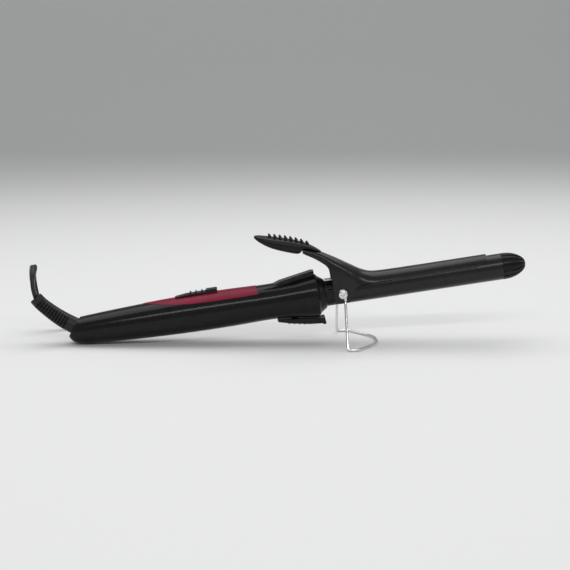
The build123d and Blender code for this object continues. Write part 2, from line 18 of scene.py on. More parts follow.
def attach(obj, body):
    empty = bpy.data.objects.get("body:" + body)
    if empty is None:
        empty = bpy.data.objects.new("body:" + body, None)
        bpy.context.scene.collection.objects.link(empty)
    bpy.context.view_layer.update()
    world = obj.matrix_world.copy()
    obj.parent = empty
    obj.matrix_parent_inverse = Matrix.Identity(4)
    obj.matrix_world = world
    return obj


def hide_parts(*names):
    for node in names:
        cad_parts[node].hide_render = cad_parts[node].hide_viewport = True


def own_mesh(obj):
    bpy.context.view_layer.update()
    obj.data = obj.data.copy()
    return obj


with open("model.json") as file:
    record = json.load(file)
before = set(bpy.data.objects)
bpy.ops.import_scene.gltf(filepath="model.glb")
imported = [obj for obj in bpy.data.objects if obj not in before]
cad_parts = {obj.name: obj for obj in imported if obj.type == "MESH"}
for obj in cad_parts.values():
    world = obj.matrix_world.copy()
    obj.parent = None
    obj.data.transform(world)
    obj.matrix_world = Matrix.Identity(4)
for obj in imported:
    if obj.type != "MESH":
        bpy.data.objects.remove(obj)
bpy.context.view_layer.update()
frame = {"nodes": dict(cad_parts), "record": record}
nodes = frame["nodes"]
joints = {j["name"]: j for j in frame["record"]["behaviour"]["joints"]}
print("nodes:", len(nodes), "joints:", sorted(joints))

# %% [markdown]
# The iron leans: it stands on its butt and on a wire foot, so the barrel slopes up to the tip. It is far
# easier to draw it level. So every shape below is drawn in millimetres in the iron's own frame, with X
# along the barrel, Z up and the clamp's pivot at the origin, and one matrix puts it in its place.

# %% The iron's own frame
MM = 0.001
pivot = Vector(joints["clamp_hinge"]["pos_m"])
along = Vector(joints["switch_slide"]["axis"])
LEAN = atan2(along.z, along.x)
IRON = Matrix.Translation(pivot) @ Matrix.Rotation(-LEAN, 4, "Y") @ Matrix.Scale(MM, 4)
FLOOR = Matrix.Scale(MM, 4)
print("lean in degrees:", round(LEAN * 180 / pi, 2), "pivot:", [round(v, 4) for v in pivot])

# %% [markdown]
# The camera stands almost square to the iron's side and a little above it, far enough away that the
# barrel hardly tapers. Blender aims a camera along its own -Z axis, which to_track_quat takes care of.

# %% Camera
CAMERA_TURN = radians(-1.7)
CAMERA_RISE = radians(11.5)
CAMERA_REACH = 0.700
CAMERA_LENS = 61.0
look_at = pivot + Vector((-41.0, 0.0, 4.5)) * MM


def add_camera():
    away = Vector((sin(CAMERA_TURN) * cos(CAMERA_RISE), -cos(CAMERA_TURN) * cos(CAMERA_RISE),
                   sin(CAMERA_RISE)))
    data = bpy.data.cameras.new("studio_camera")
    data.lens = CAMERA_LENS
    data.sensor_width = 36.0
    data.clip_start, data.clip_end = 0.01, 50.0
    camera = bpy.data.objects.new("studio_camera", data)
    camera.location = look_at + away * CAMERA_REACH
    camera.rotation_euler = (-away).to_track_quat("-Z", "Y").to_euler()
    bpy.context.scene.collection.objects.link(camera)
    bpy.context.scene.camera = camera
    return camera


print("camera at", [round(v, 3) for v in add_camera().location])

# %% [markdown]
# Gloss black shows hardly anything of its own, only what it mirrors. So the light is what draws this
# object: one long softbox overhead gives the soft band along the top of the handle, a narrow strip in
# front draws a line along the clamp's edge, and a dim grey world stands for the rest of the room. The
# floor curves up into a wall far behind, so that no horizon shows.

# %% Floor and light
def plain_material(name, colour, rough):
    material = bpy.data.materials.new(name)
    material.use_nodes = True
    shader = material.node_tree.nodes["Principled BSDF"]
    shader.inputs["Base Color"].default_value = (*colour, 1)
    shader.inputs["Roughness"].default_value = rough
    return material


FLOOR_HALF, FLOOR_BACK, COVE_RADIUS, COVE_STEPS, WALL_TOP = 5.0, 2.2, 1.6, 24, 4.5


def add_floor():
    turn = np.linspace(0, pi / 2, COVE_STEPS)
    line = [(-FLOOR_HALF, 0.0)]
    line += [(FLOOR_BACK + COVE_RADIUS * sin(a), COVE_RADIUS * (1 - cos(a))) for a in turn]
    line.append((FLOOR_BACK + COVE_RADIUS, WALL_TOP))
    points = [(side * FLOOR_HALF, y, z) for y, z in line for side in (-1, 1)]
    faces = [(2 * i, 2 * i + 1, 2 * i + 3, 2 * i + 2) for i in range(len(line) - 1)]
    mesh = bpy.data.meshes.new("floor")
    mesh.from_pydata(points, [], faces)
    for face in mesh.polygons:
        face.use_smooth = True
    floor = bpy.data.objects.new("floor", mesh)
    mesh.materials.append(plain_material("floor_paint", (0.80, 0.80, 0.80), 0.8))
    bpy.context.scene.collection.objects.link(floor)


def softbox(name, place, size, power):
    data = bpy.data.lights.new(name, "AREA")
    data.shape = "RECTANGLE"
    data.size, data.size_y = size
    data.energy = power
    light = bpy.data.objects.new(name, data)
    light.location = place
    light.rotation_euler = (Vector((0, 0, 0.03)) - Vector(place)).to_track_quat("-Z", "Y").to_euler()
    bpy.context.scene.collection.objects.link(light)


def add_world(grey, strength):
    world = bpy.data.worlds.new("room")
    world.use_nodes = True
    background = world.node_tree.nodes["Background"]
    background.inputs["Color"].default_value = (*grey, 1)
    background.inputs["Strength"].default_value = strength
    bpy.context.scene.world = world


add_floor()
softbox("top_softbox", (-0.1, 0.30, 1.10), (1.8, 0.9), 9.5)
softbox("front_strip", (0.1, -1.20, 0.95), (1.6, 0.12), 6.0)
softbox("side_softbox", (1.4, 0.1, 0.8), (0.5, 0.5), 2.5)
add_world((0.98, 0.99, 1.0), 0.40)
bpy.context.scene.view_settings.view_transform = "Standard"

# %% [markdown]
# A moulded or painted surface is never quite one colour and never quite smooth. Each finish below mixes
# two close tones with a soft noise, lets the roughness wander a little, and adds a fine bump for grain.
# The noise reads Object coordinates. Every mesh keeps its place in its points, so these run through the
# whole iron at one true scale.

# %% A helper for finishes
def noise(tree, size_mm, detail=3.0, stretch=(1, 1, 1)):
    """A noise whose blobs are about size_mm across."""
    place = tree.nodes.new("ShaderNodeTexCoord")
    mapping = tree.nodes.new("ShaderNodeMapping")
    mapping.inputs["Scale"].default_value = stretch
    texture = tree.nodes.new("ShaderNodeTexNoise")
    texture.inputs["Scale"].default_value = 1 / (size_mm * MM)
    texture.inputs["Detail"].default_value = detail
    tree.links.new(place.outputs["Object"], mapping.inputs["Vector"])
    tree.links.new(mapping.outputs["Vector"], texture.inputs["Vector"])
    return texture.outputs["Fac"]


def spread(tree, value, low, high, start=0.35, end=0.65):
    """Turn a noise into numbers from low to high."""
    ranged = tree.nodes.new("ShaderNodeMapRange")
    ranged.inputs["From Min"].default_value, ranged.inputs["From Max"].default_value = start, end
    ranged.inputs["To Min"].default_value, ranged.inputs["To Max"].default_value = low, high
    tree.links.new(value, ranged.inputs["Value"])
    return ranged.outputs["Result"]


def two_tones(tree, value, first, second):
    """Mix two colours by a number from 0 to 1."""
    mix = tree.nodes.new("ShaderNodeMix")
    mix.data_type = "RGBA"
    mix.inputs["A"].default_value, mix.inputs["B"].default_value = (*first, 1), (*second, 1)
    tree.links.new(value, mix.inputs["Factor"])
    return mix.outputs["Result"]


def finish(name, tones, rough, metal=0.0, blot_mm=6.0, grain_mm=0.25, grain=0.05, depth_mm=0.02,
           stretch=(1, 1, 1), coat=0.0, specular=0.5):
    """A material of two close tones, a roughness from rough[0] to rough[1] and a fine bump."""
    material = bpy.data.materials.new(name)
    material.use_nodes = True
    tree = material.node_tree
    shader = tree.nodes["Principled BSDF"]
    blots = noise(tree, blot_mm)
    tree.links.new(two_tones(tree, spread(tree, blots, 0, 1), *tones), shader.inputs["Base Color"])
    fine = noise(tree, grain_mm, 2.0, stretch)
    tree.links.new(spread(tree, fine, *rough), shader.inputs["Roughness"])
    bump = tree.nodes.new("ShaderNodeBump")
    bump.inputs["Strength"].default_value = grain
    bump.inputs["Distance"].default_value = depth_mm * MM
    tree.links.new(fine, bump.inputs["Height"])
    tree.links.new(bump.outputs["Normal"], shader.inputs["Normal"])
    shader.inputs["Metallic"].default_value = metal
    shader.inputs["Coat Weight"].default_value = coat
    shader.inputs["Coat Roughness"].default_value = 0.06
    shader.inputs["Specular IOR Level"].default_value = specular
    return material


# %% [markdown]
# The plastics. The handle and its crimson panel are polished mouldings, so their grain is only a trace of
# orange peel. The nose, pad and latch come from a finely eroded mould and look satin. The cord and its
# boot are soft vinyl, which scatters light and goes slightly brown-grey in its highlights.

# %% Plastics and rubber
finishes = {}
finishes["gloss_black"] = finish("handle_gloss_black", ((0.0045, 0.0046, 0.005), (0.007, 0.007, 0.0075)),
                                 (0.14, 0.20), grain_mm=1.6, grain=0.12, depth_mm=0.01, specular=0.20)
finishes["accent"] = finish("panel_crimson", ((0.17, 0.006, 0.026), (0.21, 0.009, 0.034)),
                            (0.30, 0.38), blot_mm=14, grain_mm=1.2, grain=0.10, depth_mm=0.01, specular=0.14)
finishes["black_plastic"] = finish("satin_black_plastic", ((0.0055, 0.0055, 0.006), (0.008, 0.008, 0.0085)),
                                   (0.30, 0.38), grain_mm=0.35, grain=0.25, depth_mm=0.02, specular=0.22)
finishes["boot_rubber"] = finish("boot_vinyl", ((0.008, 0.0078, 0.0074), (0.012, 0.0116, 0.011)),
                                 (0.40, 0.52), grain_mm=0.4, grain=0.35, depth_mm=0.03, specular=0.32)
finishes["cord_rubber"] = finish("cord_vinyl", ((0.009, 0.009, 0.0092), (0.013, 0.013, 0.0135)),
                                 (0.36, 0.48), grain_mm=0.5, grain=0.3, depth_mm=0.03, specular=0.35)
finishes["tie_plastic"] = finish("tie_vinyl", ((0.012, 0.012, 0.012), (0.02, 0.02, 0.02)),
                                 (0.30, 0.42), grain_mm=0.5, grain=0.3, depth_mm=0.03)
finishes["wire_sleeve"] = finish("glass_sleeve", ((0.50, 0.49, 0.45), (0.62, 0.61, 0.57)),
                                 (0.55, 0.75), blot_mm=1.5, grain_mm=0.25, grain=0.8, depth_mm=0.06)
finishes["film"] = finish("amber_film", ((0.46, 0.21, 0.03), (0.56, 0.28, 0.05)), (0.12, 0.2), coat=0.4)
finishes["ceramic"] = finish("heater_ceramic", ((0.60, 0.58, 0.52), (0.70, 0.68, 0.62)),
                             (0.55, 0.7), grain_mm=0.2, grain=0.5, depth_mm=0.03)

# %% [markdown]
# The metals. The barrel and the clamp carry a baked black ceramic coat that hides the steel, with a very
# fine speckle. The stand is bright drawn wire, so its faint scratches run along it. The screws are
# plated, the springs are plain steel and the heat block is cast aluminium.

# %% Metals
finishes["barrel_coat"] = finish("barrel_ceramic_coat", ((0.006, 0.0063, 0.0068), (0.009, 0.0094, 0.010)),
                                 (0.20, 0.28), grain_mm=0.18, grain=0.2, depth_mm=0.012, specular=0.32)
finishes["clamp_coat"] = finish("clamp_ceramic_coat", ((0.0065, 0.0068, 0.0072), (0.0095, 0.0098, 0.0105)),
                                (0.20, 0.28), grain_mm=0.18, grain=0.2, depth_mm=0.012, specular=0.32)
finishes["bright_wire"] = finish("drawn_wire", ((0.72, 0.72, 0.73), (0.80, 0.80, 0.81)),
                                 (0.08, 0.16), metal=1.0, grain_mm=0.5, grain=0.15, depth_mm=0.01)
finishes["screw_steel"] = finish("plated_screw", ((0.66, 0.66, 0.66), (0.78, 0.78, 0.78)),
                                 (0.16, 0.26), metal=1.0, blot_mm=1.5, grain_mm=0.15, grain=0.3,
                                 depth_mm=0.01)
finishes["spring_steel"] = finish("spring_steel_strip", ((0.50, 0.50, 0.52), (0.60, 0.60, 0.62)),
                                  (0.22, 0.34), metal=1.0, blot_mm=2, grain_mm=0.2, grain=0.3,
                                  depth_mm=0.01, stretch=(0.1, 1, 1))
finishes["core_aluminium"] = finish("cast_aluminium", ((0.55, 0.55, 0.57), (0.66, 0.66, 0.68)),
                                    (0.38, 0.52), metal=1.0, blot_mm=3, grain_mm=0.4, grain=0.6,
                                    depth_mm=0.04)
finishes["brass"] = finish("plug_brass", ((0.70, 0.52, 0.22), (0.78, 0.60, 0.28)),
                           (0.18, 0.30), metal=1.0, blot_mm=2, grain_mm=0.2, grain=0.3, depth_mm=0.01)

for node in nodes.values():
    slot = node.material_slots[0].material.name.split(".")[0]
    node.material_slots[0].material = finishes[slot]
print("finishes:", len(finishes))

# %% [markdown]
# The cord is one flat twin flex. It leaves the boot upwards, turns over behind the iron, comes down to
# the surface and is folded there into a tied hank, four runs wide and two high, with the plug beside it. Its
# line is a NURBS curve: the route's points are control points, so a handful of them give one smooth line.

# %% The cord's line
CORD_WIDE, CORD_THICK = 5.0, 3.1
ROUTE = [(-0.1752, 0.0, 0.0337), (-0.1779, 0.0005, 0.0422), (-0.1770, 0.0052, 0.0509),
         (-0.1794, 0.0163, 0.0552), (-0.1832, 0.0280, 0.0500), (-0.1846, 0.0340, 0.0380),
         (-0.1824, 0.0365, 0.0250),
         (-0.1755, 0.0386, 0.0140), (-0.1635, 0.0420, 0.0064), (-0.1495, 0.0466, 0.0036),
         (-0.13235, 0.0549, 0.00335)]
HANK_STRAIGHT = 46.0
HANK_RADII = [19.1, 15.8, 12.5, 9.2]
HANK_LOW, HANK_HIGH = 3.35, 8.45
HANK_TURN = radians(22.5)
HANK = FLOOR @ Matrix.Translation((-90.0, 51.8, 0)) @ Matrix.Rotation(HANK_TURN, 4, "Z")
ARC_STEPS = 6


def hank_points():
    """Turns wound inwards on the surface, then outwards on top of themselves."""
    outward = 1 / cos(pi / ARC_STEPS / 2) ** 0.75
    radii = HANK_RADII + HANK_RADII[::-1][:-1]
    points = []
    for turn, radius in enumerate(radii):
        after = HANK_RADII[::-1][0] if turn == 3 else (radii + HANK_RADII[:1])[turn + 1]
        low = HANK_LOW if turn < 4 else HANK_HIGH
        for end in (1, -1):
            for step in range(ARC_STEPS + 1):
                part = step / ARC_STEPS
                angle = pi * (0.5 - part) * end if end > 0 else -pi / 2 - pi * part
                r = radius if end > 0 else radius + (after - radius) * part
                z = low + (HANK_HIGH - low) * part if turn == 3 and end < 0 else low
                points.append(HANK @ Vector((end * HANK_STRAIGHT / 2 + r * outward * cos(angle),
                                             r * outward * sin(angle), z)))
    return points


TO_PLUG = [(-19.0, 19.1, 8.45), (-4.0, 19.3, 8.45), (9.0, 23.0, 8.3), (20.0, 30.5, 7.6)]
PLUG = FLOOR @ Matrix.Translation((-50.0, 95.7, 7.0))
PLUG_TAIL = -20.0


def cord_line():
    points = [Vector(p) for p in ROUTE] + hank_points() + [HANK @ Vector(p) for p in TO_PLUG]
    points += [PLUG @ Vector((PLUG_TAIL - 6.0, 0, 0)), PLUG @ Vector((PLUG_TAIL, 0, 0))]
    curve = bpy.data.curves.new("cord_line", "CURVE")
    curve.dimensions = "3D"
    curve.resolution_u = 6
    spline = curve.splines.new("NURBS")
    spline.points.add(len(points) - 1)
    for point, place in zip(spline.points, points):
        point.co = (*place, 1)
    spline.order_u = 3
    spline.use_endpoint_u = True
    line = bpy.data.objects.new("cord_line", curve)
    bpy.context.scene.collection.objects.link(line)
    mesh = bpy.data.meshes.new_from_object(line.evaluated_get(bpy.context.evaluated_depsgraph_get()))
    path = np.array([v.co for v in mesh.vertices])
    bpy.data.objects.remove(line)
    bpy.data.meshes.remove(mesh)
    return path


cord_path = cord_line()

# %% [markdown]
# A flat cord bends easily one way and hardly at all the other, so it twists to keep its flat side on the
# inside of each bend. The section below is two round cores side by side with a shallow valley between
# them. At each point of the line it is turned towards the direction that its wide side should face.

# %% The cord's flat section swept along its line
def piece(name, mesh, body, slot, smooth=True):
    """Put a finished mesh in the scene, riding on a body."""
    built = bpy.data.objects.new(name, mesh)
    bpy.context.scene.collection.objects.link(built)
    mesh.materials.clear()
    mesh.materials.append(finishes[slot])
    if smooth:
        mesh.shade_smooth()
    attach(built, body)
    return built


def mesh_of(name, points, faces, place):
    mesh = bpy.data.meshes.new(name)
    mesh.from_pydata([place @ Vector(p) for p in points], [], faces)
    mesh.validate()
    return mesh


def skin(rings):
    """Faces that join rings of points into a closed tube."""
    count, size = len(rings), len(rings[0])
    points = [p for ring in rings for p in ring]
    faces = [(i * size + j, i * size + (j + 1) % size, (i + 1) * size + (j + 1) % size, (i + 1) * size + j)
             for i in range(count - 1) for j in range(size)]
    faces += [tuple(range(size))[::-1], tuple((count - 1) * size + j for j in range(size))]
    return points, faces


def outwards(mesh):
    """Make every face point out of the closed shape."""
    work = bmesh.new()
    work.from_mesh(mesh)
    bmesh.ops.remove_doubles(work, verts=work.verts, dist=1e-7)
    bmesh.ops.recalc_face_normals(work, faces=work.faces)
    work.to_mesh(mesh)
    work.free()
    return mesh


WIDE_SIDE = [(0.0, (0, 1, 0)), (0.022, (0, 1, 0)), (0.045, (1, 0.1, 0)), (0.075, (0, 1, 0)),
             (0.100, (0, 1, 0)), (0.128, (0, 0, 1)), (9.0, (0, 0, 1))]


def flat_section(points=20):
    """Two round cores side by side, as (wide, thick) offsets."""
    core = CORD_THICK / 2
    gap = CORD_WIDE / 2 - core
    outline = []
    for i in range(points):
        angle = 2 * pi * i / points
        valley = 0.22 * max(0.0, 1 - (cos(angle) / 0.45) ** 2)
        outline.append((gap * np.clip(cos(angle) * 1.6, -1, 1) + core * cos(angle),
                        (core - valley) * sin(angle)))
    return outline


def cord_rings(path):
    """The section at each point of the line, with its wide side turned as WIDE_SIDE says."""
    run = np.concatenate([[0], np.cumsum(np.linalg.norm(np.diff(path, axis=0), axis=1))])
    stops = [s for s, _ in WIDE_SIDE]
    sides = np.array([d for _, d in WIDE_SIDE], float)
    wide = np.stack([np.interp(run, stops, sides[:, k]) for k in range(3)], axis=1)
    ahead = np.gradient(path, axis=0)
    ahead /= np.linalg.norm(ahead, axis=1)[:, None]
    wide -= ahead * (wide * ahead).sum(axis=1)[:, None]
    wide /= np.linalg.norm(wide, axis=1)[:, None]
    thick = np.cross(ahead, wide)
    section = flat_section()
    return [[path[i] + MM * (a * wide[i] + b * thick[i]) for a, b in section] for i in range(len(path))]


points, faces = skin(cord_rings(cord_path))
cord_mesh = mesh_of("mains_cord", points, faces, Matrix.Identity(4))
cord = piece("mains_cord", outwards(cord_mesh), "root", "cord_rubber")
print("cord faces:", len(cord.data.polygons))

# %% [markdown]
# Two helpers that the turned and moulded pieces share. The first reads a smooth value from a short table
# of stations, with slopes taken from the neighbours, so a few measured sections give a fair surface. The
# second runs a Geometry Nodes tree once and keeps what it makes as a plain mesh.

# %% Helpers for moulded pieces and for repeats
def fair(x, table):
    """A smooth curve through (x, value) stations, flat beyond the ends."""
    xs, ys = np.array(table, float).T
    x = np.clip(np.asarray(x, float), xs[0], xs[-1])
    slopes = np.gradient(ys, xs)
    i = np.clip(np.searchsorted(xs, x) - 1, 0, len(xs) - 2)
    width = xs[i + 1] - xs[i]
    t = (x - xs[i]) / width
    return (ys[i] * (2 * t**3 - 3 * t**2 + 1) + ys[i + 1] * (3 * t**2 - 2 * t**3)
            + slopes[i] * width * (t**3 - 2 * t**2 + t) + slopes[i + 1] * width * (t**3 - t**2))


def soft_step(value, start, end):
    """0 before start, 1 after end, smooth between."""
    t = np.clip((value - start) / (end - start), 0, 1)
    return t * t * (3 - 2 * t)


def polish(built, *modifiers):
    """Add modifiers given as (type, settings), then keep the result as the plain mesh."""
    for kind, settings in modifiers:
        modifier = built.modifiers.new(kind.lower(), kind)
        for key, value in settings.items():
            setattr(modifier, key, value)
    evaluated = built.evaluated_get(bpy.context.evaluated_depsgraph_get())
    mesh = bpy.data.meshes.new_from_object(evaluated)
    built.modifiers.clear()
    built.data = mesh
    return built


def subdivide(level):
    return ("SUBSURF", {"levels": level, "render_levels": level})


def node_tree(name, inputs):
    """A Geometry Nodes tree with a mesh input and named inputs, given as (name, socket, value)."""
    tree = bpy.data.node_groups.new(name, "GeometryNodeTree")
    tree.interface.new_socket("Geometry", in_out="INPUT", socket_type="NodeSocketGeometry")
    for label, socket, value in inputs:
        item = tree.interface.new_socket(label, in_out="INPUT", socket_type="NodeSocket" + socket)
        if value is not None:
            item.default_value = value
    tree.interface.new_socket("Geometry", in_out="OUTPUT", socket_type="NodeSocketGeometry")
    return tree, tree.nodes.new("NodeGroupInput"), tree.nodes.new("NodeGroupOutput")


def join_up(tree, *links):
    for source, target in links:
        tree.links.new(source, target)


def run_tree(name, tree, places, settings, body, slot):
    """Run a tree on a mesh of loose points and keep what it grows as a plain mesh."""
    seed = bpy.data.meshes.new(name + "_places")
    seed.from_pydata(places, [], [])
    holder = bpy.data.objects.new(name + "_places", seed)
    bpy.context.scene.collection.objects.link(holder)
    modifier = holder.modifiers.new("grow", "NODES")
    modifier.node_group = tree
    for item in tree.interface.items_tree:
        if item.in_out == "INPUT" and item.name in settings:
            modifier[item.identifier] = settings[item.name]
    evaluated = holder.evaluated_get(bpy.context.evaluated_depsgraph_get())
    mesh = bpy.data.meshes.new_from_object(evaluated)
    bpy.data.objects.remove(holder)
    return piece(name, mesh, body, slot)


# %% [markdown]
# A strap holds the hank. A real one is a flat strip of vinyl wound three times round the runs, with its
# two ends twisted together on top. One winding is a rounded loop, so it is built once as a ring of small
# sections, and Geometry Nodes lays three of them side by side.

# %% The hank's tie
TIE_REACH, TIE_MIDDLE, TIE_HALF_HEIGHT, TIE_CORNER = 22.0, 6.0, 5.62, 0.22
TIE_WIDE, TIE_THICK = 2.9, 0.72


def loop_outline(count=72):
    """Points and outward directions round a flat rounded loop, in the hank's Y and Z."""
    outline = []
    for i in range(count):
        angle = 2 * pi * i / count
        c, s = cos(angle), sin(angle)
        y = TIE_REACH * np.sign(c) * abs(c) ** TIE_CORNER
        z = TIE_HALF_HEIGHT * np.sign(s) * abs(s) ** TIE_CORNER
        away = Vector((0, np.sign(c) * abs(c) ** 1.6, np.sign(s) * abs(s) ** 1.6)).normalized()
        outline.append((Vector((0, y, z + TIE_MIDDLE)), away))
    return outline


def winding(half_width, half_thick):
    """One winding of the strip as points and faces, in the hank's frame."""
    section = [(half_width * a, half_thick * b) for a, b in
               ((-0.85, -1), (0.85, -1), (1, -0.3), (1, 0.3), (0.85, 1), (0.3, 0.75), (-0.3, 0.75),
                (-0.85, 1), (-1, 0.3), (-1, -0.3))]
    outline = loop_outline()
    points = [middle + away * b + Vector((a, 0, 0)) for middle, away in outline for a, b in section]
    size, count = len(section), len(outline)
    faces = [(i * size + j, i * size + (j + 1) % size, (i + 1) % count * size + (j + 1) % size,
              (i + 1) % count * size + j) for i in range(count) for j in range(size)]
    return points, faces


def row_tree(name):
    """Copies of one object at the points of the input mesh, turned by one angle."""
    tree, source, out = node_tree(name, [("Copy", "Object", None), ("Turn", "Vector", (0, 0, 0)),
                                         ("Finish", "Material", None)])
    info = tree.nodes.new("GeometryNodeObjectInfo")
    place = tree.nodes.new("GeometryNodeInstanceOnPoints")
    turn = tree.nodes.new("FunctionNodeEulerToRotation")
    real = tree.nodes.new("GeometryNodeRealizeInstances")
    paint = tree.nodes.new("GeometryNodeSetMaterial")
    join_up(tree, (source.outputs["Geometry"], place.inputs["Points"]),
            (source.outputs["Copy"], info.inputs["Object"]),
            (info.outputs["Geometry"], place.inputs["Instance"]),
            (source.outputs["Turn"], turn.inputs["Euler"]),
            (turn.outputs["Rotation"], place.inputs["Rotation"]),
            (place.outputs["Instances"], real.inputs["Geometry"]),
            (real.outputs["Geometry"], paint.inputs["Geometry"]),
            (source.outputs["Finish"], paint.inputs["Material"]),
            (paint.outputs["Geometry"], out.inputs["Geometry"]))
    return tree


def pattern(name, points, faces):
    """A loose object to be copied by a tree, in metres about its own origin."""
    built = bpy.data.objects.new(name, outwards(mesh_of(name, points, faces, FLOOR)))
    bpy.context.scene.collection.objects.link(built)
    return built


copies = row_tree("copies_at_points")
one_winding = pattern("tie_winding", *winding(TIE_WIDE / 2, TIE_THICK / 2))
tie = run_tree("hank_strap", copies, [HANK @ Vector((x, 0, 0)) for x in (-3.1, 0.0, 3.1)],
               {"Copy": one_winding, "Turn": (0, 0, HANK_TURN), "Finish": finishes["tie_plastic"]},
               "root", "tie_plastic")
bpy.data.objects.remove(one_winding)
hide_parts("hank_tie")


def twisted_ends(length=15.0, turns=2.5, steps=48):
    """The strip's two ends twisted together, lying on top of the hank."""
    rings = []
    for i in range(steps + 1):
        part = i / steps
        angle = 2 * pi * turns * part
        middle = Vector((-length / 2 + length * part, 4.5 * (part - 0.5), 13.0 - 0.5 * abs(2 * part - 1)))
        wide = Vector((0, cos(angle), sin(angle)))
        thick = Vector((0, -sin(angle), cos(angle)))
        rings.append([middle + wide * a + thick * b for a, b in
                      ((1.1, 0.28), (0, 0.45), (-1.1, 0.28), (-1.1, -0.28), (0, -0.45), (1.1, -0.28))])
    return skin(rings)


twist = piece("strap_ends", outwards(mesh_of("strap_ends", *twisted_ends(), HANK)), "root", "tie_plastic")
print("tie faces:", len(tie.data.polygons) + len(twist.data.polygons))

# %% [markdown]
# The plug is a flat two-pin moulding. Its body is a run of rounded sections that swell from the cord to
# the face, drawn as a few stations and rounded by subdivision. The strain relief behind it is ringed, so
# its radius rises and falls along its length. The two insulating sleeves round the pins are copies.

# %% Plug
PLUG_BODY = [(0.2, 7.0, 4.9), (2.0, 7.6, 5.1), (7.0, 10.0, 5.8), (12.0, 13.4, 6.3), (17.0, 16.2, 6.7),
             (22.0, 17.5, 6.8), (25.2, 17.6, 6.8), (26.0, 17.1, 6.4)]
PLUG_RELIEF = [(-22.0, 3.2, 2.6), (-10.0, 4.2, 3.3), (0.8, 5.8, 4.3)]
SLEEVE_R, SLEEVE_LENGTH = 2.12, 10.0
PLUG_FACE, PIN_SPACING = 26.0, 19.0
RELIEF_GROOVE, RELIEF_PITCH = 0.55, 3.4


def rounded_ring(x, half_y, half_z, power, count=28):
    """A ring of points at x between an ellipse (power 2) and a rounded box (higher powers)."""
    ring = []
    for i in range(count):
        angle = 2 * pi * i / count
        c, s = cos(angle), sin(angle)
        ring.append((x, half_y * np.sign(c) * abs(c) ** (2 / power),
                     half_z * np.sign(s) * abs(s) ** (2 / power)))
    return ring


def plug_relief(steps=66):
    rings = []
    for x in np.linspace(PLUG_RELIEF[0][0], PLUG_RELIEF[-1][0], steps):
        fade = 1 - soft_step(x, -3.5, -2.0)
        groove = RELIEF_GROOVE * soft_step(sin(2 * pi * x / RELIEF_PITCH), 0.0, 0.7) * fade
        half_y = fair(x, [(a, b) for a, b, _ in PLUG_RELIEF]) - groove
        half_z = fair(x, [(a, c) for a, _, c in PLUG_RELIEF]) - groove * 0.8
        rings.append(rounded_ring(x, float(half_y), float(half_z), 2.0))
    return skin(rings)


body_mesh = mesh_of("plug_grip", *skin([rounded_ring(x, y, z, 3.2) for x, y, z in PLUG_BODY]), PLUG)
plug = polish(piece("plug_grip", outwards(body_mesh), "root", "cord_rubber"), subdivide(2))
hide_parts("plug_body")
tail_mesh = mesh_of("plug_relief", *plug_relief(), PLUG)
plug_tail = piece("plug_relief", outwards(tail_mesh), "root", "cord_rubber")

sleeve_rings = [rounded_ring(x, r, r, 2.0, 24) for x, r in
                ((-0.4, SLEEVE_R), (SLEEVE_LENGTH - 0.5, SLEEVE_R), (SLEEVE_LENGTH, SLEEVE_R - 0.1))]
one_sleeve = pattern("pin_sleeve", *skin(sleeve_rings))
sleeve_places = [PLUG @ Vector((PLUG_FACE, y, 0)) for y in (-PIN_SPACING / 2, PIN_SPACING / 2)]
sleeves = run_tree("pin_sleeves", copies, sleeve_places,
                   {"Copy": one_sleeve, "Finish": finishes["cord_rubber"]}, "root", "cord_rubber")
bpy.data.objects.remove(one_sleeve)

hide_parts("power_cord", "cord_hank")

# %% [markdown]
# The boot stops the cord from bending sharply where it enters the handle. It is a tapering vinyl cone
# with a ladder of slots down each side, so it bends like a spring. The slots follow a rule, so the boot
# is one swept surface whose radius drops wherever the rule says that there is a slot.

# %% Bend relief
BOOT_LINE = [(-194.0, 3.2), (-204.2, 11.4), (-211.9, 19.2), (-216.6, 24.9), (-218.9, 28.6)]
BOOT_RADIUS = [(0.0, 6.2), (0.12, 6.0), (0.3, 5.8), (0.55, 5.4), (0.8, 5.0), (1.0, 4.8)]
BOOT_SLOTS, BOOT_SLOT_DEPTH = 11, 2.7
BOOT_RIM = [(0.25, -0.15), (0.45, -0.55), (0.45, -1.2), (0.2, -1.8), (-0.5, -2.05), (-1.8, -2.1)]


def boot_rings(steps=210, around=56):
    """Rings along the boot's line, then round its rim and into the cord's hole."""
    line = np.array(BOOT_LINE)
    run = np.concatenate([[0], np.cumsum(np.linalg.norm(np.diff(line, axis=0), axis=1))])
    run /= run[-1]
    at = np.linspace(0, 1, steps)
    x, z = fair(at, list(zip(run, line[:, 0]))), fair(at, list(zip(run, line[:, 1])))
    ahead = np.stack([np.gradient(x), np.gradient(z)], axis=1)
    ahead /= np.linalg.norm(ahead, axis=1)[:, None]
    rings = []
    for i, part in enumerate(at):
        phase = (part - 0.2) / 0.70 * BOOT_SLOTS
        slot = soft_step(0.30 - abs(phase % 1 - 0.5), 0.0, 0.12) if 0 < phase < BOOT_SLOTS else 0.0
        rings.append(boot_ring(x[i], z[i], ahead[i], float(fair(part, BOOT_RADIUS)), slot, around))
    end = float(fair(1.0, BOOT_RADIUS))
    for shift, inset in BOOT_RIM:
        rings.append(boot_ring(x[-1] + ahead[-1][0] * shift, z[-1] + ahead[-1][1] * shift, ahead[-1],
                               end + inset, 0.0, around))
    return rings


def boot_ring(x, z, ahead, radius, slot, around):
    """One ring across the boot. Its slots open on the near and far sides only."""
    ring = []
    for j in range(around):
        angle = 2 * pi * j / around
        sideways = soft_step(abs(cos(angle)), 0.60, 0.72)
        r = radius - BOOT_SLOT_DEPTH * slot * sideways
        ring.append((x - ahead[1] * r * sin(angle), r * cos(angle), z + ahead[0] * r * sin(angle)))
    return ring


